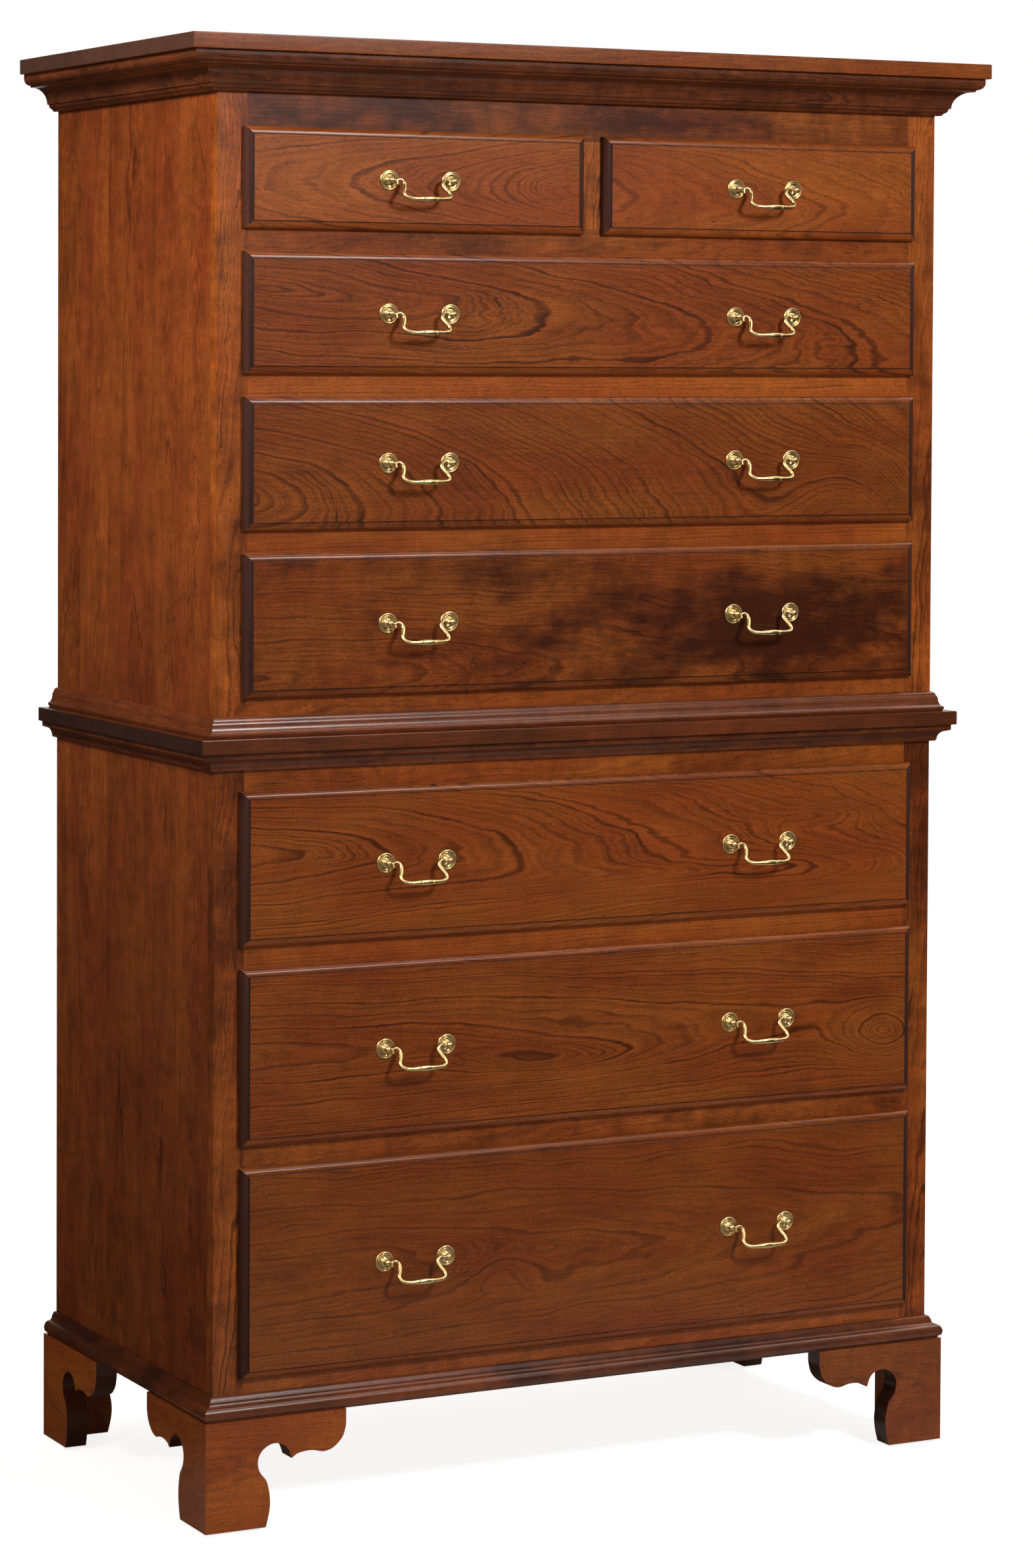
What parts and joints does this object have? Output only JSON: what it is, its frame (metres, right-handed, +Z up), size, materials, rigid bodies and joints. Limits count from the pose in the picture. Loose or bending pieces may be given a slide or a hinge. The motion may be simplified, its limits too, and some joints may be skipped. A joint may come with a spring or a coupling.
{
  "type": "chest on chest",
  "caption": "Tall two-part chest of lipped drawers with coved cornice, waist moulding, ogee bracket feet and swan-neck bail pulls.",
  "frame": {"origin": "on the floor below the middle of the footprint, the bottom centre of the bounding box", "axes": "+X to the right seen from the front, +Y towards the back so the drawers open towards -Y, +Z up"},
  "size_m": [1.1054, 0.5738, 1.7797],
  "materials": {
    "cherry_case": "stained cherry, semi-gloss lacquer",
    "cherry_front": "stained cherry with horizontal figure, semi-gloss lacquer",
    "cherry_moulding": "dark stained cherry, semi-gloss lacquer",
    "drawer_box_wood": "clear sealed maple",
    "inner_wood": "clear sealed secondary wood and plywood",
    "polished_brass": "polished and lacquered",
    "glide": "nylon"
  },
  "bodies": {
    "chest": {"lower_face_frame": "cherry_case", "lower_left_side": "cherry_case", "lower_right_side": "cherry_case", "lower_back": "inner_wood", "lower_web_frame_1": "inner_wood", "lower_web_frame_2": "inner_wood", "lower_web_frame_3": "inner_wood", "upper_face_frame": "cherry_case", "upper_left_side": "cherry_case", "upper_right_side": "cherry_case", "upper_back": "inner_wood", "upper_web_frame_1": "inner_wood", "upper_web_frame_2": "inner_wood", "upper_web_frame_3": "inner_wood", "upper_web_frame_4": "inner_wood", "upper_divider": "inner_wood", "ledge_board": "cherry_moulding", "top_board": "cherry_case", "cornice_moulding": "cherry_moulding", "waist_moulding": "cherry_moulding", "ledge_cove_moulding": "cherry_moulding", "base_moulding": "cherry_moulding", "front_left_foot": "cherry_case", "front_left_glide": "glide", "front_right_foot": "cherry_case", "front_right_glide": "glide", "back_right_foot": "cherry_case", "back_right_glide": "glide", "back_left_foot": "cherry_case", "back_left_glide": "glide"},
    "drawer_1_left": {"drawer_1_left_front": "cherry_front", "drawer_1_left_box": "drawer_box_wood"},
    "drawer_1_left_bail": {"drawer_1_left_bail": "polished_brass"},
    "drawer_1_right": {"drawer_1_right_front": "cherry_front", "drawer_1_right_box": "drawer_box_wood"},
    "drawer_1_right_bail": {"drawer_1_right_bail": "polished_brass"},
    "drawer_2": {"drawer_2_front": "cherry_front", "drawer_2_box": "drawer_box_wood"},
    "drawer_2_left_bail": {"drawer_2_left_bail": "polished_brass"},
    "drawer_2_right_bail": {"drawer_2_right_bail": "polished_brass"},
    "drawer_3": {"drawer_3_front": "cherry_front", "drawer_3_box": "drawer_box_wood"},
    "drawer_3_left_bail": {"drawer_3_left_bail": "polished_brass"},
    "drawer_3_right_bail": {"drawer_3_right_bail": "polished_brass"},
    "drawer_4": {"drawer_4_front": "cherry_front", "drawer_4_box": "drawer_box_wood"},
    "drawer_4_left_bail": {"drawer_4_left_bail": "polished_brass"},
    "drawer_4_right_bail": {"drawer_4_right_bail": "polished_brass"},
    "drawer_5": {"drawer_5_front": "cherry_front", "drawer_5_box": "drawer_box_wood"},
    "drawer_5_left_bail": {"drawer_5_left_bail": "polished_brass"},
    "drawer_5_right_bail": {"drawer_5_right_bail": "polished_brass"},
    "drawer_6": {"drawer_6_front": "cherry_front", "drawer_6_box": "drawer_box_wood"},
    "drawer_6_left_bail": {"drawer_6_left_bail": "polished_brass"},
    "drawer_6_right_bail": {"drawer_6_right_bail": "polished_brass"},
    "drawer_7": {"drawer_7_front": "cherry_front", "drawer_7_box": "drawer_box_wood"},
    "drawer_7_left_bail": {"drawer_7_left_bail": "polished_brass"},
    "drawer_7_right_bail": {"drawer_7_right_bail": "polished_brass"}
  },
  "joints": [
    {"name": "drawer_1_left_slide", "type": "slide", "parent": "chest", "child": "drawer_1_left", "axis": [0, -1, 0], "range_m": [0, 0.36]},
    {"name": "drawer_1_left_bail_hinge", "type": "hinge", "parent": "drawer_1_left", "child": "drawer_1_left_bail", "pos_m": [-0.24015, -0.25555, 1.61445], "axis": [-1, 0, 0], "range_deg": [0, 120]},
    {"name": "drawer_1_right_slide", "type": "slide", "parent": "chest", "child": "drawer_1_right", "axis": [0, -1, 0], "range_m": [0, 0.36]},
    {"name": "drawer_1_right_bail_hinge", "type": "hinge", "parent": "drawer_1_right", "child": "drawer_1_right_bail", "pos_m": [0.24015, -0.25555, 1.61445], "axis": [-1, 0, 0], "range_deg": [0, 120]},
    {"name": "drawer_2_slide", "type": "slide", "parent": "chest", "child": "drawer_2", "axis": [0, -1, 0], "range_m": [0, 0.36]},
    {"name": "drawer_2_left_bail_hinge", "type": "hinge", "parent": "drawer_2", "child": "drawer_2_left_bail", "pos_m": [-0.24015, -0.25555, 1.4545], "axis": [-1, 0, 0], "range_deg": [0, 120]},
    {"name": "drawer_2_right_bail_hinge", "type": "hinge", "parent": "drawer_2", "child": "drawer_2_right_bail", "pos_m": [0.24015, -0.25555, 1.4545], "axis": [-1, 0, 0], "range_deg": [0, 120]},
    {"name": "drawer_3_slide", "type": "slide", "parent": "chest", "child": "drawer_3", "axis": [0, -1, 0], "range_m": [0, 0.36]},
    {"name": "drawer_3_left_bail_hinge", "type": "hinge", "parent": "drawer_3", "child": "drawer_3_left_bail", "pos_m": [-0.24015, -0.25555, 1.27525], "axis": [-1, 0, 0], "range_deg": [0, 120]},
    {"name": "drawer_3_right_bail_hinge", "type": "hinge", "parent": "drawer_3", "child": "drawer_3_right_bail", "pos_m": [0.24015, -0.25555, 1.27525], "axis": [-1, 0, 0], "range_deg": [0, 120]},
    {"name": "drawer_4_slide", "type": "slide", "parent": "chest", "child": "drawer_4", "axis": [0, -1, 0], "range_m": [0, 0.36]},
    {"name": "drawer_4_left_bail_hinge", "type": "hinge", "parent": "drawer_4", "child": "drawer_4_left_bail", "pos_m": [-0.24015, -0.25555, 1.08255], "axis": [-1, 0, 0], "range_deg": [0, 120]},
    {"name": "drawer_4_right_bail_hinge", "type": "hinge", "parent": "drawer_4", "child": "drawer_4_right_bail", "pos_m": [0.24015, -0.25555, 1.08255], "axis": [-1, 0, 0], "range_deg": [0, 120]},
    {"name": "drawer_5_slide", "type": "slide", "parent": "chest", "child": "drawer_5", "axis": [0, -1, 0], "range_m": [0, 0.36]},
    {"name": "drawer_5_left_bail_hinge", "type": "hinge", "parent": "drawer_5", "child": "drawer_5_left_bail", "pos_m": [-0.24015, -0.25295, 0.7928], "axis": [-1, 0, 0], "range_deg": [0, 120]},
    {"name": "drawer_5_right_bail_hinge", "type": "hinge", "parent": "drawer_5", "child": "drawer_5_right_bail", "pos_m": [0.24015, -0.25295, 0.7928], "axis": [-1, 0, 0], "range_deg": [0, 120]},
    {"name": "drawer_6_slide", "type": "slide", "parent": "chest", "child": "drawer_6", "axis": [0, -1, 0], "range_m": [0, 0.36]},
    {"name": "drawer_6_left_bail_hinge", "type": "hinge", "parent": "drawer_6", "child": "drawer_6_left_bail", "pos_m": [-0.24015, -0.25295, 0.5677], "axis": [-1, 0, 0], "range_deg": [0, 120]},
    {"name": "drawer_6_right_bail_hinge", "type": "hinge", "parent": "drawer_6", "child": "drawer_6_right_bail", "pos_m": [0.24015, -0.25295, 0.5677], "axis": [-1, 0, 0], "range_deg": [0, 120]},
    {"name": "drawer_7_slide", "type": "slide", "parent": "chest", "child": "drawer_7", "axis": [0, -1, 0], "range_m": [0, 0.36]},
    {"name": "drawer_7_left_bail_hinge", "type": "hinge", "parent": "drawer_7", "child": "drawer_7_left_bail", "pos_m": [-0.24015, -0.25295, 0.30865], "axis": [-1, 0, 0], "range_deg": [0, 120]},
    {"name": "drawer_7_right_bail_hinge", "type": "hinge", "parent": "drawer_7", "child": "drawer_7_right_bail", "pos_m": [0.24015, -0.25295, 0.30865], "axis": [-1, 0, 0], "range_deg": [0, 120]}
  ]
}
